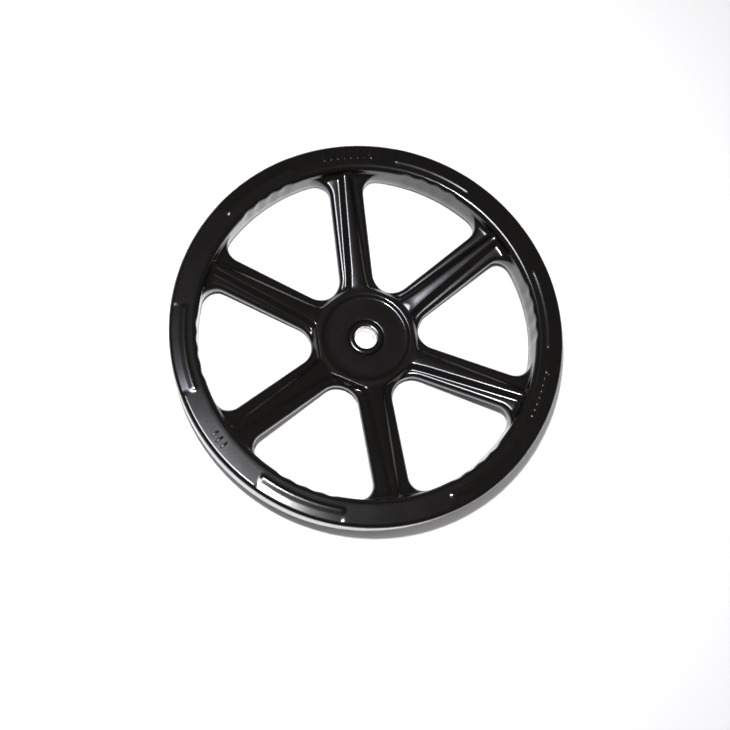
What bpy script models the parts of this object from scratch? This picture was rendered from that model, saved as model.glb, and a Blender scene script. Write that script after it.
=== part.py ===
"""Pressed-steel valve handwheel, 300 mm: a stamped wheel, a turned hub bush and the weld that joins them.

The wheel's axis is +Z, the origin is the middle of the bush's lower face, and one spoke lies along +X.
All lengths are in metres.
"""
import math

import bmesh
import bpy

COLLECTION = "pressed_handwheel"
SPOKES = 6
HALF_SECTOR = math.pi / SPOKES          # from a spoke's centre line to the middle of a window
SHEET = 0.0022                          # sheet thickness of the pressing

# Rim: an upside-down channel
RIM_RADIUS = 0.150
RIM_INNER = 0.1289                      # radius of the rim's inner wall
RIM_TOP = 0.044                         # height of the flat land
RIM_BOTTOM = 0.020
OUTER_SHOULDER = 0.0034                 # corner radius of the land's outer edge
INNER_SHOULDER = 0.0046

# Raised bead on the rim, between the spokes: a steep inner flank, a peak and a long fall to the outer shoulder
BEAD_HEIGHT = 0.0007
BEAD_FOOT = 0.1360                      # radius where its inner flank meets the land
BEAD_PEAK = 0.1386
BEAD_EDGE = 0.1477                      # radius where the outer shoulder starts
BEAD_EDGE_TILT = math.radians(9.0)
BEAD_FALL = ((0.1386, 0.0), (0.1393, 0.10), (0.1402, 0.20), (0.1422, 0.20), (0.1434, 0.085), (0.1470, 0.075),
             (0.1477, 0.16))            # (radius, slope) along the fall
TOP_RADII = (0.1434, 0.1404, BEAD_PEAK, BEAD_FOOT)
BEAD_HALF_ANGLE = math.radians(14.0)
BEAD_RUN_OUT = math.radians(1.4)

# Finger notches on the rim's inner wall
NOTCH_DEPTH = 0.0010
NOTCH_PITCH = math.radians(5.5)
NOTCH_SADDLE = 0.3                      # share of the depth that is left between two notches
NOTCH_FULL = math.radians(9.3)          # the notches fade out from here
NOTCH_END = math.radians(12.0)
NOTCH_TOP = 0.036                       # below this height they fade towards a plain lower edge
NOTCH_BOTTOM = 0.022

# Windows between the spokes
SPOKE_HALF_WIDTH = 0.0134
HUB_CORNER = 0.016                      # corner radius at the hub end
RIM_CORNER = 0.012                      # corner radius at the rim end
EDGE_RADIUS = 0.0034                    # rounding where the face turns down into the window's lip
LIP = 0.0062                            # depth of the turned-down lip along spokes and hub

# Heights along the spokes, at the hub end and at the rim end
SPOKE_START = 0.040
FLANGE_START = 0.0138
FLANGE_END = 0.0340
CREST_START = 0.0178
CREST_END = 0.0374
CREST_FLAT_START = 0.0040               # half width of the ridge's top
CREST_FLAT_END = 0.0006
CREST_FOOT_START = 0.0100               # half width of the ridge's foot
CREST_FOOT_END = 0.0064
CREST_CROWN = 0.34                      # how much the ridge's top is rounded
CREST_FILLET_CUT = 0.7                     # how much lower the fillet at the rim is along the ridge
FLANGE_FALL = 0.0012                    # the flanges fall a little towards the windows
RIM_FILLET = 0.0035                     # fillet from the spoke up to the rim's inner wall

# Hub plate
HUB_FACE = 0.016
HUB_HOLE = 0.0136
HUB_MIDDLE = 0.023                      # radius of one more ring of points on the sunk face
RING_HEIGHT = 0.0018                    # raised ring round the sunk hub face
RING_START = 0.0315
RING_FULL = 0.0355
RING_END = 0.0375
HUB_EDGE = 0.0372                       # distance from the axis to the plate's straight edge at each window
HUB_FALL = 0.008
HUB_FALL_WIDTH = 0.0075
BLEND = 0.0012                          # softness where hub and spokes run together
BLEND_WIDTH = 0.008

# Hub bush and weld
BORE_RADIUS = 0.009
SPIGOT_RADIUS = 0.0133
BUSH_RADIUS = 0.019
BUSH_CHAMFER = 0.0006
GAP = 0.0003
WELD_LEG = 0.0030
WELD_BULGE = 0.0018                     # reach of the bead's crown along both legs
MERGE = 0.00002                         # points closer than this are one

# Mesh steps
TIP_STEPS = 3
EDGE_STEPS = 3
CORNER_STEPS = 5
ROUND_STEPS = 2
ACROSS_STEPS = 4
LIP_STEPS = 1
WINDOW_STEPS = 8
SHOULDER_STEPS = 2
SCREW_STEPS = 48


def clamp(value):
    return max(0.0, min(1.0, value))


def smooth(value):
    value = clamp(value)
    return value * value * (3.0 - 2.0 * value)


def mix(start, end, share):
    return start + (end - start) * share


def hub_corner_centre():
    reach = (SPOKE_HALF_WIDTH + HUB_CORNER) / math.sin(HALF_SECTOR)
    return reach * math.cos(HALF_SECTOR), reach * math.sin(HALF_SECTOR)


def rim_corner_centre():
    across = SPOKE_HALF_WIDTH + RIM_CORNER
    reach = RIM_INNER - RIM_CORNER
    return math.sqrt(reach * reach - across * across), across


HUB_CENTRE = hub_corner_centre()
RIM_CENTRE = rim_corner_centre()
CORNER_ANGLE = math.atan2(RIM_CENTRE[1], RIM_CENTRE[0])


def hub_height(x, y):
    """Height of the hub plate: sunk face, raised ring, then the fall towards the window."""
    ring = RING_HEIGHT * smooth((math.hypot(x, y) - RING_START) / (RING_FULL - RING_START))
    to_window = x * math.cos(HALF_SECTOR) + y * math.sin(HALF_SECTOR)
    fall = HUB_FALL * smooth((to_window - HUB_EDGE) / HUB_FALL_WIDTH)
    return HUB_FACE + ring - fall


def ridge_share(radius, across):
    """Share of the ridge's height beside the spoke's centre line, and the half width of its foot."""
    share = clamp((radius - SPOKE_START) / (RIM_INNER - SPOKE_START))
    flat = mix(CREST_FLAT_START, CREST_FLAT_END, share)
    foot = mix(CREST_FOOT_START, CREST_FOOT_END, share)
    ramp = clamp((abs(across) - flat) / (foot - flat))
    crown = 1.0 - CREST_CROWN * (across / foot) ** 2
    return crown * 0.5 * (1.0 + math.cos(math.pi * ramp)), foot


def spoke_height(radius, across):
    """Height of a spoke: nearly flat flanges with a rounded ridge along the middle."""
    share = clamp((radius - SPOKE_START) / (RIM_INNER - SPOKE_START))
    flange = mix(FLANGE_START, FLANGE_END, share)
    crest = mix(CREST_START, CREST_END, share)
    ridge, foot = ridge_share(radius, across)
    fall = FLANGE_FALL * smooth((abs(across) - foot) / SPOKE_HALF_WIDTH)
    return flange - fall + (crest - flange) * ridge


def face_height(x, y):
    """Height of the spokes' and hub's upper surface, before its edges are rounded."""
    radius = math.hypot(x, y)
    hub = hub_height(x, y)
    if radius <= RING_END:
        return hub
    spoke = spoke_height(radius, y)
    soft = BLEND * smooth((radius - RING_END) / BLEND_WIDTH)
    return 0.5 * (hub + spoke + math.sqrt((hub - spoke) ** 2 + soft * soft))


def edge_distance(x, y):
    """Distance from a point on the spoke or hub to the window's outline."""
    if x < HUB_CENTRE[0]:
        return math.hypot(x - HUB_CENTRE[0], y - HUB_CENTRE[1]) - HUB_CORNER
    if x <= RIM_CENTRE[0]:
        return SPOKE_HALF_WIDTH - y
    return math.hypot(x - RIM_CENTRE[0], y - RIM_CENTRE[1]) - RIM_CORNER


def quarter(distance, radius):
    """Height of a quarter-round at a distance from its steep side: the radius at 0, nothing at the radius."""
    distance = max(0.0, min(radius, distance))
    return radius - math.sqrt(max(0.0, radius * radius - (radius - distance) ** 2))


def surface(x, y):
    """Point of the upper surface over (x, y), with its fillet at the rim and its rounded window edge."""
    radius = math.hypot(x, y)
    to_wall = RIM_INNER - radius
    ridge, _ = ridge_share(radius, y)
    rise = quarter(to_wall, RIM_FILLET) * (1.0 - CREST_FILLET_CUT * ridge)
    rounding = quarter(edge_distance(x, y), EDGE_RADIUS) * smooth(to_wall / RIM_FILLET)
    return x, y, face_height(x, y) + rise - rounding


def outline():
    """Window outline, from its tip at the hub to the rim: (x, y, share along the straight, share round corner)."""
    points = []
    for step in range(TIP_STEPS):
        angle = math.pi + HALF_SECTOR + (math.pi / 2 - HALF_SECTOR) * step / TIP_STEPS
        points.append((HUB_CENTRE[0] + HUB_CORNER * math.cos(angle),
                       HUB_CENTRE[1] + HUB_CORNER * math.sin(angle), -1.0, 0.0))
    for step in range(EDGE_STEPS):
        share = step / EDGE_STEPS
        points.append((mix(HUB_CENTRE[0], RIM_CENTRE[0], share), SPOKE_HALF_WIDTH, share, 0.0))
    for step in range(CORNER_STEPS + 1):
        share = step / CORNER_STEPS
        turn = math.sin(share * math.pi / 2)
        angle = mix(-math.pi / 2, CORNER_ANGLE, turn)
        points.append((RIM_CENTRE[0] + RIM_CORNER * math.cos(angle),
                       RIM_CENTRE[1] + RIM_CORNER * math.sin(angle), 1.0, turn))
    return points


def inset(point, offset):
    """Point of the face at an offset from an outline point, away from the window."""
    x, y, along, _ = point
    if along < 0.0:
        share = offset / HUB_CORNER
        return x + (x - HUB_CENTRE[0]) * share, y + (y - HUB_CENTRE[1]) * share
    turn = -offset / math.hypot(x, y)
    turned = (x * math.cos(turn) - y * math.sin(turn), x * math.sin(turn) + y * math.cos(turn))
    return mix(x, turned[0], along), mix(y - offset, turned[1], along)


def section(point):
    """Points of the sheet's outer surface from the bottom of the window's lip to the spoke's centre line."""
    x, y, _, corner = point
    top = surface(x, y)[2]
    bottom = mix(face_height(x, y) - LIP, RIM_BOTTOM, smooth(corner))
    row = [(x, y, mix(bottom, top, step / LIP_STEPS)) for step in range(LIP_STEPS)]
    for step in range(ROUND_STEPS + 1):
        bend = math.pi / 2 * step / ROUND_STEPS
        row.append(surface(*inset(point, EDGE_RADIUS * (1.0 - math.cos(bend)))))
    inner = inset(point, EDGE_RADIUS)
    radius = math.hypot(*inner)
    start = math.atan2(inner[1], inner[0])
    for step in range(1, ACROSS_STEPS + 1):
        angle = start * (1.0 - step / ACROSS_STEPS)
        row.append(surface(radius * math.cos(angle), radius * math.sin(angle)))
    return row


def hub_rows():
    """Rings of points from the hub's hole out to the tip of the window's rounded edge."""
    tip = math.hypot(*inset(outline()[0], EDGE_RADIUS))
    rows = []
    angles = [HALF_SECTOR * (1.0 - step / ACROSS_STEPS) for step in range(ACROSS_STEPS + 1)]
    ring_middle = mix(RING_START, RING_FULL, 0.5)
    for radius in (HUB_HOLE, HUB_MIDDLE, RING_START, ring_middle, RING_FULL, RING_END, tip):
        rows.append([surface(radius * math.cos(angle), radius * math.sin(angle)) for angle in angles])
    return rows


def notch(window_angle):
    """Depth of the finger notches at an angle from the window's middle."""
    fade = smooth((NOTCH_END - abs(window_angle)) / (NOTCH_END - NOTCH_FULL))
    wave = math.sin(math.pi * window_angle / NOTCH_PITCH) ** 2
    return NOTCH_DEPTH * fade * mix(NOTCH_SADDLE, 1.0, wave)


def shoulder(top, start):
    """Points of the outer shoulder, from the wall up to the point of the top it starts from, which has a tilt."""
    radius = (RIM_RADIUS - top[0]) / (1.0 - math.sin(start))
    points = []
    for step in range(SHOULDER_STEPS + 1):
        tilt = mix(math.pi / 2, start, step / SHOULDER_STEPS)
        points.append((RIM_RADIUS - radius * (1.0 - math.sin(tilt)),
                       top[1] + radius * (math.cos(tilt) - math.cos(start))))
    return points


def bead_height(radius):
    """Height of the bead over the land."""
    if radius <= BEAD_PEAK:
        return BEAD_HEIGHT * smooth((radius - BEAD_FOOT) / (BEAD_PEAK - BEAD_FOOT))
    height = BEAD_HEIGHT
    for (first, slope), (second, next_slope) in zip(BEAD_FALL, BEAD_FALL[1:]):
        share = clamp((radius - first) / (second - first))
        height -= (second - first) * share * (slope + 0.5 * (next_slope - slope) * share)
    return height


def plain_top():
    """Rim top without a bead, from the outer wall inwards: (radius, height)."""
    land = [(radius, RIM_TOP) for radius in TOP_RADII]
    return shoulder((RIM_RADIUS - OUTER_SHOULDER, RIM_TOP), 0.0) + land


def bead_top():
    """Rim top with the bead, from the outer wall inwards."""
    raised = [(radius, RIM_TOP + bead_height(radius)) for radius in TOP_RADII]
    return shoulder((BEAD_EDGE, RIM_TOP + bead_height(BEAD_EDGE)), BEAD_EDGE_TILT) + raised


PLAIN_TOP = plain_top()
BEAD_TOP = bead_top()


def rim_column(angle, foot):
    """Rim section at an angle from the spoke: outer wall, shoulder, bead or land, inner shoulder and wall.

    foot is the height where the wall meets the spoke, or None in a window, where the wall runs on down.
    """
    window_angle = HALF_SECTOR - angle
    bead = smooth((BEAD_HALF_ANGLE - abs(window_angle)) / BEAD_RUN_OUT)
    cut = notch(window_angle) if foot is None else 0.0
    profile = [(RIM_RADIUS, RIM_BOTTOM)]
    for plain, raised in zip(PLAIN_TOP, BEAD_TOP):
        profile.append((mix(plain[0], raised[0], bead), mix(plain[1], raised[1], bead)))
    joint = FLANGE_END - FLANGE_FALL + RIM_FILLET if foot is None else foot
    drop = min(INNER_SHOULDER, RIM_TOP - joint - GAP)
    for step in range(SHOULDER_STEPS + 1):
        bend = math.pi / 2 * step / SHOULDER_STEPS
        profile.append((RIM_INNER + INNER_SHOULDER * (1.0 - math.sin(bend)) + cut * math.sin(bend) ** 2,
                        RIM_TOP - drop * (1.0 - math.cos(bend))))
    profile.append((RIM_INNER + cut, joint))
    if foot is None:
        for step in range(1, LIP_STEPS + 1):
            height = mix(joint, RIM_BOTTOM, step / LIP_STEPS)
            share = smooth((height - NOTCH_BOTTOM) / (NOTCH_TOP - NOTCH_BOTTOM))
            profile.append((RIM_INNER + cut * share, height))
    return [(radius * math.cos(angle), radius * math.sin(angle), height) for radius, height in profile]


def half_sector():
    """Strips of quads, each a list of rows of points, from the spoke's centre line to the window's middle."""
    sections = [section(point) for point in outline()]
    end_row = sections[-1][LIP_STEPS:]
    rim = [rim_column(math.atan2(point[1], point[0]), point[2]) for point in reversed(end_row)]
    window = []
    for step in range(WINDOW_STEPS + 1):
        angle = mix(CORNER_ANGLE, HALF_SECTOR, step / WINDOW_STEPS)
        window.append(rim_column(angle, None))
    return [sections, hub_rows(), rim, window]


def add_strip(mesh, rows, place, flipped):
    grid = [[mesh.verts.new(place(*point)) for point in row] for row in rows]
    for first, second in zip(grid, grid[1:]):
        for a, b, c, d in zip(first, first[1:], second[1:], second):
            mesh.faces.new((a, b, c, d) if flipped else (d, c, b, a))


def pressing_mesh():
    """The pressing's outer surface, open below: the half sector, mirrored and turned round the axis."""
    mesh = bmesh.new()
    strips = half_sector()
    for spoke in range(SPOKES):
        turn = 2.0 * HALF_SECTOR * spoke
        for side in (1.0, -1.0):
            def place(x, y, z):
                return (x * math.cos(turn) - side * y * math.sin(turn),
                        x * math.sin(turn) + side * y * math.cos(turn), z)
            for rows in strips:
                add_strip(mesh, rows, place, side < 0.0)
    bmesh.ops.remove_doubles(mesh, verts=mesh.verts, dist=MERGE)
    bmesh.ops.recalc_face_normals(mesh, faces=mesh.faces)
    return mesh


def collection(name):
    group = bpy.data.collections.new(name)
    bpy.context.scene.collection.children.link(group)
    return group


def material(name, colour, metallic, roughness):
    finish = bpy.data.materials.new(name)
    finish.use_nodes = True
    shader = finish.node_tree.nodes["Principled BSDF"]
    shader.inputs["Base Color"].default_value = (*colour, 1.0)
    shader.inputs["Metallic"].default_value = metallic
    shader.inputs["Roughness"].default_value = roughness
    return finish


def finish_object(name, data, group, finish):
    item = bpy.data.objects.new(name, data)
    item.data.materials.append(finish)
    group.objects.link(item)
    return item


def make_pressing(group):
    mesh = pressing_mesh()
    upward = sum(face.normal.z * face.calc_area() for face in mesh.faces)
    if upward < 0.0:
        bmesh.ops.reverse_faces(mesh, faces=mesh.faces)
    data = bpy.data.meshes.new("wheel_pressing")
    mesh.to_mesh(data)
    mesh.free()
    data.shade_smooth()
    item = finish_object("wheel_pressing", data, group, material("black_coat", (0.02, 0.02, 0.022), 0.0, 0.15))
    shell = item.modifiers.new("sheet", "SOLIDIFY")
    shell.thickness = SHEET
    shell.offset = -1.0
    shell.use_even_offset = True
    return item


def turned(name, profile, group, finish):
    """A closed profile of (radius, height) points at +X, turned round Z."""
    mesh = bmesh.new()
    verts = [mesh.verts.new((radius, 0.0, height)) for radius, height in profile]
    for first, second in zip(verts, verts[1:] + verts[:1]):
        mesh.edges.new((first, second))
    data = bpy.data.meshes.new(name)
    mesh.to_mesh(data)
    mesh.free()
    item = finish_object(name, data, group, finish)
    screw = item.modifiers.new("turn", "SCREW")
    screw.angle = 2.0 * math.pi
    screw.steps = SCREW_STEPS
    screw.render_steps = SCREW_STEPS
    screw.use_merge_vertices = True
    screw.merge_threshold = MERGE
    screw.use_smooth_shade = True
    return item


def make_bush(group):
    seat = HUB_FACE - SHEET - GAP
    chamfer = BUSH_CHAMFER
    profile = [
        (BORE_RADIUS + chamfer, HUB_FACE),
        (SPIGOT_RADIUS - chamfer, HUB_FACE),
        (SPIGOT_RADIUS, HUB_FACE - chamfer),
        (SPIGOT_RADIUS, seat),
        (BUSH_RADIUS, seat),
        (BUSH_RADIUS, chamfer),
        (BUSH_RADIUS - chamfer, 0.0),
        (BORE_RADIUS + chamfer, 0.0),
        (BORE_RADIUS, chamfer),
        (BORE_RADIUS, HUB_FACE - chamfer),
    ]
    return turned("hub_bush", profile, group, material("bare_steel", (0.55, 0.55, 0.56), 1.0, 0.3))


def make_weld(group):
    inner = BUSH_RADIUS + GAP
    top = HUB_FACE - SHEET - GAP
    profile = [
        (inner, top),
        (inner + WELD_LEG, top),
        (inner + WELD_BULGE, top - WELD_BULGE),
        (inner, top - WELD_LEG),
    ]
    return turned("hub_weld", profile, group, material("coated_weld", (0.02, 0.02, 0.022), 0.0, 0.3))


def main():
    for item in list(bpy.data.objects):
        bpy.data.objects.remove(item)
    group = collection(COLLECTION)
    make_pressing(group)
    make_bush(group)
    make_weld(group)


main()
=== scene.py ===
"""Looks of the pressed-steel valve handwheel: fine meshes of its pieces, finishes, floor, light and camera.

The wheel's axis is +Z, the origin is the middle of the bush's lower face, and one spoke lies along +X.
Lengths are in metres. Sizes that the CAD has too are the same here, unless a comment says otherwise.
"""

import math

import bmesh
import bpy
from mathutils import Matrix, Vector


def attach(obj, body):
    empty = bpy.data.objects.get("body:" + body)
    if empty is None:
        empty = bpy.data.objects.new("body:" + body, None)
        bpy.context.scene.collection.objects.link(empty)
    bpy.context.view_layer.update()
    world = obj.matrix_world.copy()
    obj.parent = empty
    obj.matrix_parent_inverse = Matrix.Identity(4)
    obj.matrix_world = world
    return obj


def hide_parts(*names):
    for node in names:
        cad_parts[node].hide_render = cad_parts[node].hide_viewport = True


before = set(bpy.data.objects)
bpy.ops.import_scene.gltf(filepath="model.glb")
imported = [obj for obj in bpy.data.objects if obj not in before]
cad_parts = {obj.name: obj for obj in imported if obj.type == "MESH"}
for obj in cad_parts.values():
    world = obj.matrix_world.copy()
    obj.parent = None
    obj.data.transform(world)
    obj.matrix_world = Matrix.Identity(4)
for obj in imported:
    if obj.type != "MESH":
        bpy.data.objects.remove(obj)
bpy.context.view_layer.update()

SPOKES = 6
HALF_SECTOR = math.pi / SPOKES          # from the middle of a spoke to the middle of a window
SHEET = 0.0022                          # sheet thickness

# Rim
RIM_RADIUS = 0.150
RIM_INNER = 0.1289
RIM_TOP = 0.044                         # height of the plain top, between the beads
RIM_BOTTOM = 0.020
OUTER_SHOULDER = 0.0034
INNER_SHOULDER = 0.0046
WALL_RING = 0.4                         # a ring of points this far up the outer wall

# Raised bead between the spokes: a steep inner flank, a rounded peak and a long fall to the outer shoulder
BEAD_HEIGHT = 0.0007
BEAD_FOOT = 0.1360
BEAD_PEAK = 0.1386
BEAD_EDGE = 0.1477                      # where the outer shoulder starts
BEAD_EDGE_TILT = math.radians(9.0)
BEAD_FALL = ((0.1386, 0.0), (0.1393, 0.10), (0.1402, 0.20), (0.1422, 0.20),
             (0.1434, 0.085), (0.1470, 0.075), (0.1477, 0.16))  # (radius, slope) of that fall
BEAD_HALF_ANGLE = math.radians(14.0)
BEAD_RUN_OUT = math.radians(1.4)

# Finger notches on the rim's inner side
NOTCH_DEPTH = 0.0010
NOTCH_PITCH = math.radians(5.5)
NOTCH_SADDLE = 0.3                      # share of the depth that is left between two notches
NOTCH_FULL = math.radians(9.3)          # full depth up to this angle from the window's middle
NOTCH_END = math.radians(12.0)
NOTCH_TOP = 0.036
NOTCH_BOTTOM = 0.022

# Windows
SPOKE_HALF_WIDTH = 0.0134
HUB_CORNER = 0.016                      # corner radius at the hub
RIM_CORNER = 0.012                      # corner radius at the rim
EDGE_RADIUS = 0.0034                    # rounding from the face into the turned-down lip
LIP = 0.0062                            # depth of the lip along spokes and hub

# Heights along the spokes, at the hub end and at the rim end
SPOKE_START = 0.040
FLANGE_START = 0.0138
FLANGE_END = 0.0340
CREST_START = 0.0178
CREST_END = 0.0374
CREST_FLAT_START = 0.0040               # half width of the ridge's top
CREST_FLAT_END = 0.0006
CREST_FOOT_START = 0.0100               # half width of the ridge's foot
CREST_FOOT_END = 0.0064
CREST_CROWN = 0.34                      # how much the ridge's top is rounded
CREST_FILLET_CUT = 0.7                  # how much lower the fillet at the rim is along the ridge
ROOT_LENGTH = 0.018                     # looks only: the ridge widens over this length towards the hub
ROOT_WIDENING = 0.0010
FLANGE_FALL = 0.0012                    # the flanges fall a little towards the windows
RIM_FILLET = 0.0042                     # larger than the CAD's

# Hub plate
HUB_FACE = 0.016
HUB_HOLE = 0.0136
RING_HEIGHT = 0.0018                    # raised ring round the sunk hub face
RING_START = 0.0315
RING_FULL = 0.0355
RING_END = 0.0375
HUB_EDGE = 0.0372                       # distance from the axis to the plate's straight edge at each window
HUB_FALL = 0.008
HUB_FALL_WIDTH = 0.0075
HOLE_ROUND = 0.0012                     # looks only: rounded edge of the plate's hole
BLEND = 0.0012                          # softness of the joint between plate and spoke
BLEND_WIDTH = 0.008

# Bush and weld
BORE_RADIUS = 0.009
SPIGOT_RADIUS = 0.0133
BUSH_RADIUS = 0.019
BUSH_CHAMFER = 0.0006
GAP = 0.0003
WELD_LEG = 0.0030

# Looks only: bare skin of the bore, rounded cut edges of the sheet
SLEEVE = 0.0010
BORE_MOUTH = 0.0002                     # chamfer of the bore's mouths
CUT_EDGE_ROUND = 0.0004
CUT_EDGE_ANGLE = math.radians(60.0)
CUT_EDGE_SEGMENTS = 2

# Looks only: ripples of the weld
WELD_STEPS = 288
WELD_PASS = 6                           # steps from one ripple to the next
WELD_ROUND = 6
WELD_RIPPLE = 0.16
WELD_CROWN = 0.92
WELD_CREASE = math.radians(50.0)

# Looks only: marks on the rim, (azimuth in degrees, bars, side of the arrow tip)
MARKS = ((60.0, 7, -1.0), (300.0, 7, 1.0), (180.0, 3, 0.0))
MARK_RADIUS = 0.1408
MARK_PITCH = math.radians(2.15)
MARK_HALF = (0.0036, 0.0011, 0.0006)    # half length, half width and height of a bar
MARK_SEGMENTS = 20
MARK_RINGS = 12
TIP_PITCHES = 0.7                       # the tip stands this many pitches past the last bar's edge
TIP_SPREAD = 0.45                       # its two bars' distance from the middle, in half lengths
TIP_LENGTH = 0.7
TIP_TURN = math.radians(35.0)

# Gloss black coat
COAT_COLOUR = (0.0034, 0.0026, 0.0023, 1.0)
COAT_DUST = (0.0075, 0.0066, 0.0062, 1.0)
COAT_GLOSS = (0.13, 0.17)               # roughness of the clear top layer
COAT_SHEEN = (0.26, 0.34)               # roughness of the layer under it
COAT_SPECULAR = 0.05
COAT_WEIGHT = 0.9
DUST_NOISE = (420.0, 6.0)               # (scale, detail)
DUST_RANGE = (0.58, 0.80)               # where the noise starts to show and is full
FILM_NOISE = (38.0, 3.0)
FILM_RANGE = (0.35, 0.75)
PEEL_NOISE = (900.0, 2.0)
PEEL_BUMP = (0.05, 0.0002)              # (strength, distance)

# Turned steel
STEEL_COLOUR = (0.80, 0.79, 0.78, 1.0)
STEEL_STAIN = (0.50, 0.47, 0.44, 1.0)
STEEL_ROUGHNESS = (0.26, 0.42)
STEEL_BUMP = (0.12, 0.0001)
STEEL_RINGS = (260.0, 1.2)              # (scale, distortion) of the tool marks
STAIN_NOISE = (160.0, 4.0)
STAIN_RANGE = (0.45, 0.8)

# Floor and sky
FLOOR_SIZE = 3.0
FLOOR_DROP = 0.0002
FLOOR_COLOURS = ((0.84, 0.835, 0.84, 1.0), (0.87, 0.86, 0.865, 1.0))
FLOOR_ROUGHNESS = 0.6
FLOOR_NOISE = (3.0, 5.0)
FLOOR_GRAIN = (900.0, 2.0)
FLOOR_BUMP = (0.04, 0.0002)
LEAN_AZIMUTH = math.radians(67.4)       # direction of the point of the rim that touches the floor
SKY_COLOUR = (1.0, 0.97, 0.96, 1.0)
SKY_STRENGTH = 0.11

# Camera
CAMERA_PLACE = Vector((-0.2146, -0.1036, 0.779))
CAMERA_FORWARD = Vector((0.2521, 0.1092, -0.9615))
CAMERA_UP = Vector((0.5801, 0.7782, 0.2404))
CAMERA_LENS = 50.58                     # mm
SENSOR_WIDTH = 36.0                     # mm
CLIP_START = 0.01

# Lights
LIGHT_TARGET = Vector((0.0, 0.0, 0.02))
FLASH_UP = 0.095                        # the flash sits this far over the lens
FLASH_LEFT = 0.012
WHITE = (1.0, 1.0, 1.0)
COOL = (0.88, 0.90, 1.0)
WARM = (1.0, 0.98, 0.97)

# Mesh steps
TIP_STEPS = 10
EDGE_STEPS = 26
CORNER_STEPS = 16
ROUND_STEPS = 7
ACROSS_STEPS = 22
LIP_STEPS = 2
WINDOW_STEPS = 44
SHOULDER_STEPS = 10
TOP_STEPS = 24
SCREW_STEPS = 128
HOLE_STEPS = 5
RING_STEPS = 8
PLATE_STEPS = 4
HUB_RADII = (0.0180, 0.0225, 0.0270)    # rings of points on the sunk face
MERGE = 0.00002


def clamp(value):
    """The value, kept between 0 and 1."""
    return max(0.0, min(1.0, value))


def smooth(value):
    """Smooth step from 0 to 1."""
    value = clamp(value)
    return value * value * (3.0 - 2.0 * value)


def mix(start, end, share):
    """The value a share of the way from start to end."""
    return start + (end - start) * share


def hub_corner_centre():
    """Centre of the window's corner at the hub, on the window's middle line."""
    reach = (SPOKE_HALF_WIDTH + HUB_CORNER) / math.sin(HALF_SECTOR)
    return reach * math.cos(HALF_SECTOR), reach * math.sin(HALF_SECTOR)


def rim_corner_centre():
    """Centre of the window's corner between spoke and rim."""
    across = SPOKE_HALF_WIDTH + RIM_CORNER
    reach = RIM_INNER - RIM_CORNER
    return math.sqrt(reach * reach - across * across), across


HUB_CENTRE = hub_corner_centre()
RIM_CENTRE = rim_corner_centre()
CORNER_ANGLE = math.atan2(RIM_CENTRE[1], RIM_CENTRE[0])


def hub_height(x, y):
    """Height of the hub plate: sunk face, raised ring, and the fall past its straight edge at each window."""
    radius = math.hypot(x, y)
    ring = RING_HEIGHT * smooth((radius - RING_START) / (RING_FULL - RING_START))
    to_window = x * math.cos(HALF_SECTOR) + y * math.sin(HALF_SECTOR)
    fall = HUB_FALL * smooth((to_window - HUB_EDGE) / HUB_FALL_WIDTH)
    return HUB_FACE + ring - fall - quarter(radius - HUB_HOLE, HOLE_ROUND)


def ridge_share(radius, across):
    """Share of the ridge's height beside the spoke's centre line, and the half width of its foot."""
    share = clamp((radius - SPOKE_START) / (RIM_INNER - SPOKE_START))
    root = ROOT_WIDENING * (1.0 - smooth((radius - RING_END) / ROOT_LENGTH))
    flat = mix(CREST_FLAT_START, CREST_FLAT_END, share) + root
    foot = mix(CREST_FOOT_START, CREST_FOOT_END, share) + root
    ramp = clamp((abs(across) - flat) / (foot - flat))
    crown = 1.0 - CREST_CROWN * (across / foot) ** 2
    return crown * 0.5 * (1.0 + math.cos(math.pi * ramp)), foot


def spoke_height(radius, across):
    """Height of a spoke: nearly flat flanges with a rounded ridge along the middle."""
    share = clamp((radius - SPOKE_START) / (RIM_INNER - SPOKE_START))
    flange = mix(FLANGE_START, FLANGE_END, share)
    crest = mix(CREST_START, CREST_END, share)
    ridge, foot = ridge_share(radius, across)
    fall = FLANGE_FALL * smooth((abs(across) - foot) / SPOKE_HALF_WIDTH)
    return flange - fall + (crest - flange) * ridge


def face_height(x, y):
    """Height of the spokes' and hub's upper surface, before its edges are rounded."""
    radius = math.hypot(x, y)
    hub = hub_height(x, y)
    if radius <= RING_END:
        return hub
    spoke = spoke_height(radius, y)
    soft = BLEND * smooth((radius - RING_END) / BLEND_WIDTH)
    return 0.5 * (hub + spoke + math.sqrt((hub - spoke) ** 2 + soft * soft))


def edge_distance(x, y):
    """Distance from the window's outline."""
    if x < HUB_CENTRE[0]:
        return math.hypot(x - HUB_CENTRE[0], y - HUB_CENTRE[1]) - HUB_CORNER
    if x <= RIM_CENTRE[0]:
        return SPOKE_HALF_WIDTH - y
    return math.hypot(x - RIM_CENTRE[0], y - RIM_CENTRE[1]) - RIM_CORNER


def quarter(distance, radius):
    """Height of a quarter-round at a distance from its steep side: the radius at 0, nothing at the radius."""
    distance = max(0.0, min(radius, distance))
    return radius - math.sqrt(max(0.0, radius * radius - (radius - distance) ** 2))


def surface(x, y):
    """Point of the upper surface over (x, y), with its fillet at the rim and its rounded window edge."""
    radius = math.hypot(x, y)
    to_wall = RIM_INNER - radius
    ridge, _ = ridge_share(radius, y)
    rise = quarter(to_wall, RIM_FILLET) * (1.0 - CREST_FILLET_CUT * ridge)
    rounding = quarter(edge_distance(x, y), EDGE_RADIUS) * smooth(to_wall / RIM_FILLET)
    return x, y, face_height(x, y) + rise - rounding


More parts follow.
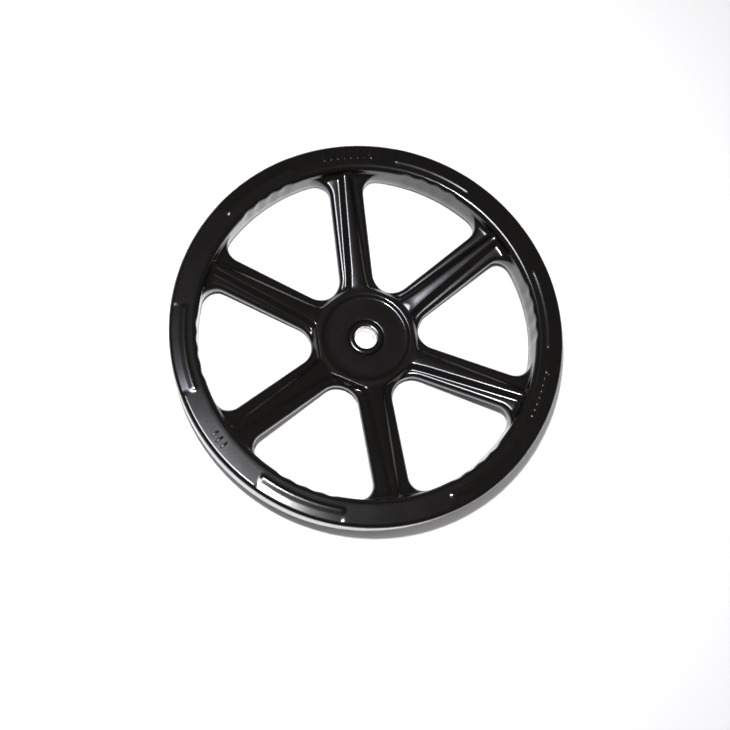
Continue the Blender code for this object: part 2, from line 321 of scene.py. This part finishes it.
def outline():
    """Window outline from its tip at the hub to the rim.

    A point is (x, y, share along the straight, or -1 round the tip, share round the corner at the rim).
    """
    points = []
    for step in range(TIP_STEPS):
        angle = math.pi + HALF_SECTOR + (math.pi / 2 - HALF_SECTOR) * step / TIP_STEPS
        points.append((HUB_CENTRE[0] + HUB_CORNER * math.cos(angle),
                       HUB_CENTRE[1] + HUB_CORNER * math.sin(angle), -1.0, 0.0))
    for step in range(EDGE_STEPS):
        share = step / EDGE_STEPS
        points.append((mix(HUB_CENTRE[0], RIM_CENTRE[0], share), SPOKE_HALF_WIDTH, share, 0.0))
    for step in range(CORNER_STEPS + 1):
        share = step / CORNER_STEPS
        turn = math.sin(share * math.pi / 2)
        angle = mix(-math.pi / 2, CORNER_ANGLE, turn)
        points.append((RIM_CENTRE[0] + RIM_CORNER * math.cos(angle),
                       RIM_CENTRE[1] + RIM_CORNER * math.sin(angle), 1.0, turn))
    return points


def inset(point, offset):
    """Point of the face at a distance inwards from an outline point."""
    x, y, along, _ = point
    if along < 0.0:
        share = offset / HUB_CORNER
        return x + (x - HUB_CENTRE[0]) * share, y + (y - HUB_CENTRE[1]) * share
    turn = -offset / math.hypot(x, y)
    turned = (x * math.cos(turn) - y * math.sin(turn), x * math.sin(turn) + y * math.cos(turn))
    return mix(x, turned[0], along), mix(y - offset, turned[1], along)


def section(point):
    """Points from the lip's lower edge over the rounded edge to the spoke's centre line."""
    x, y, _, corner = point
    top = surface(x, y)[2]
    bottom = mix(face_height(x, y) - LIP, RIM_BOTTOM, smooth(corner))
    row = [(x, y, mix(bottom, top, step / LIP_STEPS)) for step in range(LIP_STEPS)]
    for step in range(ROUND_STEPS + 1):
        bend = math.pi / 2 * step / ROUND_STEPS
        row.append(surface(*inset(point, EDGE_RADIUS * (1.0 - math.cos(bend)))))
    inner = inset(point, EDGE_RADIUS)
    radius = math.hypot(*inner)
    start = math.atan2(inner[1], inner[0])
    for step in range(1, ACROSS_STEPS + 1):
        angle = start * (1.0 - step / ACROSS_STEPS)
        row.append(surface(radius * math.cos(angle), radius * math.sin(angle)))
    return row


def hub_rows():
    """Rings of points of half a sector of the hub plate, from its hole outwards."""
    tip = math.hypot(*inset(outline()[0], EDGE_RADIUS))
    angles = [HALF_SECTOR * (1.0 - step / ACROSS_STEPS) for step in range(ACROSS_STEPS + 1)]
    bends = [math.pi / 2 * step / HOLE_STEPS for step in range(HOLE_STEPS + 1)]
    radii = [HUB_HOLE + HOLE_ROUND * (1.0 - math.cos(bend)) for bend in bends]
    radii += HUB_RADII
    radii += [mix(RING_START, RING_FULL, step / RING_STEPS) for step in range(RING_STEPS + 1)]
    radii += [mix(RING_FULL, RING_END, 0.5)]
    radii += [mix(RING_END, tip, step / PLATE_STEPS) for step in range(PLATE_STEPS + 1)]
    return [[surface(radius * math.cos(angle), radius * math.sin(angle)) for angle in angles]
            for radius in radii]


def notch(window_angle):
    """Depth of the finger notches at an angle from the window's middle."""
    fade = smooth((NOTCH_END - abs(window_angle)) / (NOTCH_END - NOTCH_FULL))
    wave = math.sin(math.pi * window_angle / NOTCH_PITCH) ** 2
    return NOTCH_DEPTH * fade * mix(NOTCH_SADDLE, 1.0, wave)


def shoulder(top, start):
    """Points of the outer shoulder, from the wall up to a point of the rim's top that has a tilt."""
    radius = (RIM_RADIUS - top[0]) / (1.0 - math.sin(start))
    points = []
    for step in range(SHOULDER_STEPS + 1):
        tilt = mix(math.pi / 2, start, step / SHOULDER_STEPS)
        points.append((RIM_RADIUS - radius * (1.0 - math.sin(tilt)),
                       top[1] + radius * (math.cos(tilt) - math.cos(start))))
    return points


def plain_top():
    """Rim top without a bead, from the outer wall inwards: (radius, height)."""
    start = RIM_RADIUS - OUTER_SHOULDER
    points = shoulder((start, RIM_TOP), 0.0)
    for step in range(1, TOP_STEPS + 1):
        points.append((mix(start, BEAD_FOOT, step / TOP_STEPS), RIM_TOP))
    return points


def bead_height(radius):
    """Height of the bead over the land."""
    if radius <= BEAD_PEAK:
        return BEAD_HEIGHT * smooth((radius - BEAD_FOOT) / (BEAD_PEAK - BEAD_FOOT))
    height = BEAD_HEIGHT
    for (first, slope), (second, next_slope) in zip(BEAD_FALL, BEAD_FALL[1:]):
        share = clamp((radius - first) / (second - first))
        height -= (second - first) * share * (slope + 0.5 * (next_slope - slope) * share)
    return height


def bead_top():
    """Rim top with the bead, from the outer wall inwards."""
    points = shoulder((BEAD_EDGE, RIM_TOP + bead_height(BEAD_EDGE)), BEAD_EDGE_TILT)
    for step in range(1, TOP_STEPS + 1):
        radius = mix(BEAD_EDGE, BEAD_FOOT, step / TOP_STEPS)
        points.append((radius, RIM_TOP + bead_height(radius)))
    return points


def rim_column(angle, foot):
    """Points over the rim from its outer lower edge to the spoke at height foot, or to the window's lip."""
    window_angle = HALF_SECTOR - angle
    bead = smooth((BEAD_HALF_ANGLE - abs(window_angle)) / BEAD_RUN_OUT)
    cut = notch(window_angle) if foot is None else 0.0
    profile = [(RIM_RADIUS, RIM_BOTTOM), (RIM_RADIUS, mix(RIM_BOTTOM, RIM_TOP, WALL_RING))]
    for plain, raised in zip(PLAIN_TOP, BEAD_TOP):
        profile.append((mix(plain[0], raised[0], bead), mix(plain[1], raised[1], bead)))
    joint = FLANGE_END - FLANGE_FALL + RIM_FILLET if foot is None else foot
    drop = min(INNER_SHOULDER, RIM_TOP - joint - GAP)
    for step in range(SHOULDER_STEPS + 1):
        bend = math.pi / 2 * step / SHOULDER_STEPS
        inwards = RIM_INNER + INNER_SHOULDER * (1.0 - math.sin(bend)) + cut * math.sin(bend) ** 3
        profile.append((inwards, RIM_TOP - drop * (1.0 - math.cos(bend))))
    profile.append((RIM_INNER + cut, joint))
    if foot is None:
        for step in range(1, LIP_STEPS + 1):
            height = mix(joint, RIM_BOTTOM, step / LIP_STEPS)
            share = smooth((height - NOTCH_BOTTOM) / (NOTCH_TOP - NOTCH_BOTTOM))
            profile.append((RIM_INNER + cut * share, height))
    return [(radius * math.cos(angle), radius * math.sin(angle), height) for radius, height in profile]


PLAIN_TOP = plain_top()
BEAD_TOP = bead_top()


def half_sector():
    """The four strips of points of half a sector: spoke, hub, rim over the spoke and rim over the window."""
    sections = [section(point) for point in outline()]
    end_row = sections[-1][LIP_STEPS:]
    rim = [rim_column(math.atan2(point[1], point[0]), point[2]) for point in reversed(end_row)]
    window = []
    for step in range(WINDOW_STEPS + 1):
        angle = mix(CORNER_ANGLE, HALF_SECTOR, step / WINDOW_STEPS)
        window.append(rim_column(angle, None))
    return [sections, hub_rows(), rim, window]


def add_strip(mesh, rows, place, flipped):
    """Faces between rows of points."""
    grid = [[mesh.verts.new(place(*point)) for point in row] for row in rows]
    for first, second in zip(grid, grid[1:]):
        for a, b, c, d in zip(first, first[1:], second[1:], second):
            mesh.faces.new((a, b, c, d) if flipped else (d, c, b, a))


def pressing_mesh():
    """Upper surface of the whole pressing."""
    mesh = bmesh.new()
    strips = half_sector()
    for spoke in range(SPOKES):
        turn = 2.0 * HALF_SECTOR * spoke
        for side in (1.0, -1.0):
            def place(x, y, z):
                return (x * math.cos(turn) - side * y * math.sin(turn),
                        x * math.sin(turn) + side * y * math.cos(turn), z)
            for rows in strips:
                add_strip(mesh, rows, place, side < 0.0)
    bmesh.ops.remove_doubles(mesh, verts=mesh.verts, dist=MERGE)
    bmesh.ops.recalc_face_normals(mesh, faces=mesh.faces)
    upward = sum(face.normal.z * face.calc_area() for face in mesh.faces)
    if upward < 0.0:
        bmesh.ops.reverse_faces(mesh, faces=mesh.faces)
    return mesh


def new_object(name, data, finish):
    """Object in the scene with one finish."""
    item = bpy.data.objects.new(name, data)
    item.data.materials.append(finish)
    bpy.context.scene.collection.objects.link(item)
    return item


def make_pressing(finish):
    """The pressing: its upper surface, given the sheet's thickness downwards, with rounded cut edges."""
    mesh = pressing_mesh()
    data = bpy.data.meshes.new("pressing_sheet")
    mesh.to_mesh(data)
    mesh.free()
    item = new_object("pressing_sheet", data, finish)
    shell = item.modifiers.new("sheet", "SOLIDIFY")
    shell.thickness = SHEET
    shell.offset = -1.0
    shell.use_even_offset = True
    rounded = item.modifiers.new("cut_edges", "BEVEL")
    rounded.width = CUT_EDGE_ROUND
    rounded.segments = CUT_EDGE_SEGMENTS
    rounded.limit_method = "ANGLE"
    rounded.angle_limit = CUT_EDGE_ANGLE
    data.shade_smooth()
    return item


def turned(name, profile, finish):
    """Turned piece from a closed profile of (radius, height)."""
    mesh = bmesh.new()
    verts = [mesh.verts.new((radius, 0.0, height)) for radius, height in profile]
    for first, second in zip(verts, verts[1:] + verts[:1]):
        mesh.edges.new((first, second))
    data = bpy.data.meshes.new(name)
    mesh.to_mesh(data)
    mesh.free()
    item = new_object(name, data, finish)
    screw = item.modifiers.new("turn", "SCREW")
    screw.angle = 2.0 * math.pi
    screw.steps = SCREW_STEPS
    screw.render_steps = SCREW_STEPS
    screw.use_merge_vertices = True
    screw.merge_threshold = MERGE
    screw.use_smooth_shade = True
    return item


class Nodes:
    """A material, with short calls that add and link its shader nodes."""

    def __init__(self, name):
        self.material = bpy.data.materials.new(name)
        self.material.use_nodes = True
        self.tree = self.material.node_tree
        self.shader = self.tree.nodes["Principled BSDF"]

    def add(self, kind, **values):
        """New node, with values for its sockets or, where it has no such socket, its properties."""
        node = self.tree.nodes.new(kind)
        for key, value in values.items():
            if key in node.inputs:
                node.inputs[key].default_value = value
            else:
                setattr(node, key, value)
        return node

    def link(self, source, target):
        self.tree.links.new(source, target)

    def noise(self, where, look):
        """Noise of a (scale, detail)."""
        scale, detail = look
        node = self.add("ShaderNodeTexNoise", Scale=scale, Detail=detail)
        self.link(where, node.inputs["Vector"])
        return node.outputs["Fac"]

    def ramp(self, value, span):
        """The value's place between two limits, from 0 to 1."""
        node = self.add("ShaderNodeMapRange")
        self.link(value, node.inputs["Value"])
        node.inputs["From Min"].default_value, node.inputs["From Max"].default_value = span
        return node.outputs["Result"]

    def between(self, value, span):
        """A value from 0 to 1, taken to between two limits."""
        node = self.add("ShaderNodeMapRange")
        self.link(value, node.inputs["Value"])
        node.inputs["To Min"].default_value, node.inputs["To Max"].default_value = span
        return node.outputs["Result"]

    def blend(self, share, first, second):
        """Mix of two colours."""
        node = self.add("ShaderNodeMix", data_type="RGBA")
        self.link(share, node.inputs["Factor"])
        colours = [socket for socket in node.inputs if socket.type == "RGBA"]
        colours[0].default_value = first
        colours[1].default_value = second
        return [socket for socket in node.outputs if socket.type == "RGBA"][0]

    def bump(self, height, look):
        """Relief of a (strength, distance)."""
        strength, distance = look
        node = self.add("ShaderNodeBump", Strength=strength, Distance=distance)
        self.link(height, node.inputs["Height"])
        return node.outputs["Normal"]

    def into(self, source, *names):
        """Link to sockets of the shader."""
        for name in names:
            self.link(source, self.shader.inputs[name])

    def set(self, name, value):
        """Uniform value of a socket of the shader."""
        self.shader.inputs[name].default_value = value


def coat_material():
    """Gloss black stoving enamel: a faint orange peel, uneven gloss and a little dust."""
    n = Nodes("gloss_black_coat")
    where = n.add("ShaderNodeTexCoord").outputs["Object"]
    dust = n.noise(where, DUST_NOISE)
    cloud = n.noise(where, FILM_NOISE)
    peel = n.noise(where, PEEL_NOISE)
    n.into(n.blend(n.ramp(dust, DUST_RANGE), COAT_COLOUR, COAT_DUST), "Base Color")
    n.into(n.between(n.ramp(cloud, FILM_RANGE), COAT_GLOSS), "Coat Roughness")
    n.into(n.between(cloud, COAT_SHEEN), "Roughness")
    n.into(n.bump(peel, PEEL_BUMP), "Normal", "Coat Normal")
    n.set("Specular IOR Level", COAT_SPECULAR)
    n.set("Coat Weight", COAT_WEIGHT)
    return n.material


def steel_material():
    """Bare turned steel: fine tool marks round the bore."""
    n = Nodes("turned_steel")
    where = n.add("ShaderNodeTexCoord").outputs["Object"]
    scale, distortion = STEEL_RINGS
    rings = n.add("ShaderNodeTexWave", wave_type="BANDS", bands_direction="Z",
                  Scale=scale, Distortion=distortion)
    n.link(where, rings.inputs["Vector"])
    stain = n.ramp(n.noise(where, STAIN_NOISE), STAIN_RANGE)
    n.into(n.blend(stain, STEEL_COLOUR, STEEL_STAIN), "Base Color")
    n.into(n.between(rings.outputs["Fac"], STEEL_ROUGHNESS), "Roughness")
    n.into(n.bump(rings.outputs["Fac"], STEEL_BUMP), "Normal")
    n.set("Metallic", 1.0)
    return n.material


def make_bush(coat):
    """The coated bush, with a recess in its bore for the bare skin."""
    seat = HUB_FACE - SHEET - GAP
    chamfer = BUSH_CHAMFER
    mouth = BORE_MOUTH
    recess = BORE_RADIUS + SLEEVE
    profile = [
        (BORE_RADIUS + mouth, HUB_FACE),
        (SPIGOT_RADIUS - mouth, HUB_FACE),
        (SPIGOT_RADIUS, HUB_FACE - mouth),
        (SPIGOT_RADIUS, seat),
        (BUSH_RADIUS - chamfer, seat),
        (BUSH_RADIUS, seat - chamfer),
        (BUSH_RADIUS, chamfer),
        (BUSH_RADIUS - chamfer, 0.0),
        (BORE_RADIUS + mouth, 0.0),
        (BORE_RADIUS, mouth),
        (recess, mouth),
        (recess, HUB_FACE - mouth),
        (BORE_RADIUS, HUB_FACE - mouth),
    ]
    return turned("bush_turned", profile, coat)


def make_skin(steel):
    """The bare machined skin of the bore."""
    low = BORE_MOUTH
    high = HUB_FACE - BORE_MOUTH
    outer = BORE_RADIUS + SLEEVE
    profile = [(BORE_RADIUS, high), (outer, high), (outer, low), (BORE_RADIUS, low)]
    return turned("bore_skin", profile, steel)


def make_weld(coat):
    """Fillet weld round the bush, with the ripples of its passes."""
    inner = BUSH_RADIUS + GAP
    top = HUB_FACE - SHEET - GAP
    mesh = bmesh.new()
    rings = []
    for step in range(WELD_STEPS):
        angle = 2.0 * math.pi * step / WELD_STEPS
        ripple = 1.0 - WELD_RIPPLE * (step % WELD_PASS) / WELD_PASS
        ring = []
        for turn in range(WELD_ROUND + 1):
            bend = math.pi / 2 * turn / WELD_ROUND
            reach = mix(1.0, WELD_CROWN, math.sin(2.0 * bend)) * ripple
            ring.append((inner + WELD_LEG * math.cos(bend) * reach, top - WELD_LEG * math.sin(bend) * reach))
        ring.append((inner, top))
        rings.append([mesh.verts.new((radius * math.cos(angle), radius * math.sin(angle), height))
                      for radius, height in ring])
    for first, second in zip(rings, rings[1:] + rings[:1]):
        for a, b, c, d in zip(first, first[1:] + first[:1], second[1:] + second[:1], second):
            mesh.faces.new((a, b, c, d))
    bmesh.ops.recalc_face_normals(mesh, faces=mesh.faces)
    data = bpy.data.meshes.new("weld_bead")
    mesh.to_mesh(data)
    mesh.free()
    item = new_object("weld_bead", data, coat)
    data.shade_smooth()
    data.set_sharp_from_angle(angle=WELD_CREASE)
    return item


def add_bar(mesh, place, size):
    """Bar with rounded ends and back: a stretched ball, half sunk in the rim."""
    bmesh.ops.create_uvsphere(mesh, u_segments=MARK_SEGMENTS, v_segments=MARK_RINGS, radius=1.0,
                              matrix=place @ Matrix.Diagonal((*size, 1.0)))


def make_marks(coat):
    """Plain raised bars and arrow tips on the rim over three spokes."""
    mesh = bmesh.new()
    length, width, height = MARK_HALF
    for azimuth, bars, tip in MARKS:
        middle = math.radians(azimuth)
        on_rim = Matrix.Translation((MARK_RADIUS, 0.0, RIM_TOP))
        for index in range(bars):
            angle = middle + MARK_PITCH * (index - 0.5 * (bars - 1))
            add_bar(mesh, Matrix.Rotation(angle, 4, "Z") @ on_rim, MARK_HALF)
        if tip:
            angle = middle + tip * MARK_PITCH * (0.5 * bars + TIP_PITCHES)
            place = Matrix.Rotation(angle, 4, "Z") @ on_rim
            for side in (1.0, -1.0):
                lean = Matrix.Translation((side * length * TIP_SPREAD, -tip * width, 0.0))
                lean = lean @ Matrix.Rotation(side * tip * TIP_TURN, 4, "Z")
                add_bar(mesh, place @ lean, (length * TIP_LENGTH, width, height))
    data = bpy.data.meshes.new("rim_marks")
    mesh.to_mesh(data)
    mesh.free()
    item = new_object("rim_marks", data, coat)
    data.shade_smooth()
    return item


def floor_slope():
    """Slope of the floor, which touches the bush's lower edge and the rim's, and its height on the axis."""
    bush_edge = BUSH_RADIUS - BUSH_CHAMFER
    slope = RIM_BOTTOM / (RIM_RADIUS - bush_edge)
    return slope, -slope * bush_edge


def make_floor():
    """White table. The real wheel leans on it, so it is tilted under the level part."""
    slope, height = floor_slope()
    normal = Vector((-slope * math.cos(LEAN_AZIMUTH), -slope * math.sin(LEAN_AZIMUTH), 1.0)).normalized()
    data = bpy.data.meshes.new("floor")
    corners = [(-FLOOR_SIZE, -FLOOR_SIZE, 0.0), (FLOOR_SIZE, -FLOOR_SIZE, 0.0),
               (FLOOR_SIZE, FLOOR_SIZE, 0.0), (-FLOOR_SIZE, FLOOR_SIZE, 0.0)]
    data.from_pydata(corners, [], [(0, 1, 2, 3)])
    n = Nodes("floor_white")
    where = n.add("ShaderNodeTexCoord").outputs["Object"]
    n.into(n.blend(n.noise(where, FLOOR_NOISE), *FLOOR_COLOURS), "Base Color")
    n.into(n.bump(n.noise(where, FLOOR_GRAIN), FLOOR_BUMP), "Normal")
    n.set("Roughness", FLOOR_ROUGHNESS)
    item = new_object("floor", data, n.material)
    item.rotation_mode = "QUATERNION"
    item.rotation_quaternion = normal.to_track_quat("Z", "Y")
    item.location = (0.0, 0.0, height - FLOOR_DROP)


def make_camera():
    """Camera over the wheel, rolled so that the wheel lies as it was seen."""
    back = -CAMERA_FORWARD.normalized()
    right = CAMERA_UP.cross(back).normalized()
    up = back.cross(right)
    data = bpy.data.cameras.new("camera")
    data.lens = CAMERA_LENS
    data.sensor_width = SENSOR_WIDTH
    data.clip_start = CLIP_START
    item = bpy.data.objects.new("camera", data)
    item.matrix_world = Matrix.Translation(CAMERA_PLACE) @ Matrix((right, up, back)).transposed().to_4x4()
    bpy.context.scene.collection.objects.link(item)
    bpy.context.scene.camera = item


def make_area(name, place, size, energy, colour, diffuse, glossy):
    """Round soft light that faces the wheel, and lights surfaces, makes highlights, or both."""
    data = bpy.data.lights.new(name, "AREA")
    data.shape = "DISK"
    data.size = size
    data.energy = energy
    data.color = colour
    item = bpy.data.objects.new(name, data)
    item.location = place
    item.rotation_mode = "QUATERNION"
    item.rotation_quaternion = (Vector(place) - LIGHT_TARGET).to_track_quat("Z", "Y")
    item.visible_diffuse = diffuse
    item.visible_glossy = glossy
    bpy.context.scene.collection.objects.link(item)


def make_lights():
    """Flash by the lens and soft light overhead, each with a wider light for highlights, a fill and a sky."""
    up = CAMERA_UP.normalized()
    right = CAMERA_FORWARD.cross(up).normalized()
    flash = CAMERA_PLACE + up * FLASH_UP - right * FLASH_LEFT
    # Name, place, size, watts, colour, lights surfaces, makes highlights
    make_area("key", flash, 0.025, 8.2, WHITE, True, False)
    make_area("key_glow", flash, 0.070, 4.6, WHITE, False, True)
    make_area("overhead", (-0.216, 0.115, 1.5), 0.40, 5.5, COOL, True, False)
    make_area("overhead_glow", (-0.350, 0.165, 1.5), 0.54, 20.0, COOL, False, True)
    make_area("fill", (0.516, -0.796, 1.0), 1.2, 4.0, WARM, True, False)
    world = bpy.data.worlds.new("studio")
    world.use_nodes = True
    sky = world.node_tree.nodes["Background"]
    sky.inputs["Color"].default_value = SKY_COLOUR
    sky.inputs["Strength"].default_value = SKY_STRENGTH
    bpy.context.scene.world = world
    bpy.context.scene.view_settings.view_transform = "Standard"


coat = coat_material()
steel = steel_material()
for piece, node, slot in ((make_pressing(coat), "wheel_pressing", "black_coat"),
                          (make_marks(coat), "wheel_pressing", "black_coat"),
                          (make_bush(coat), "hub_bush", "black_coat"),
                          (make_skin(steel), "hub_bush", "bare_steel"),
                          (make_weld(coat), "hub_weld", "black_coat")):
    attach(piece, "root")
    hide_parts(node)
make_floor()
make_camera()
make_lights()
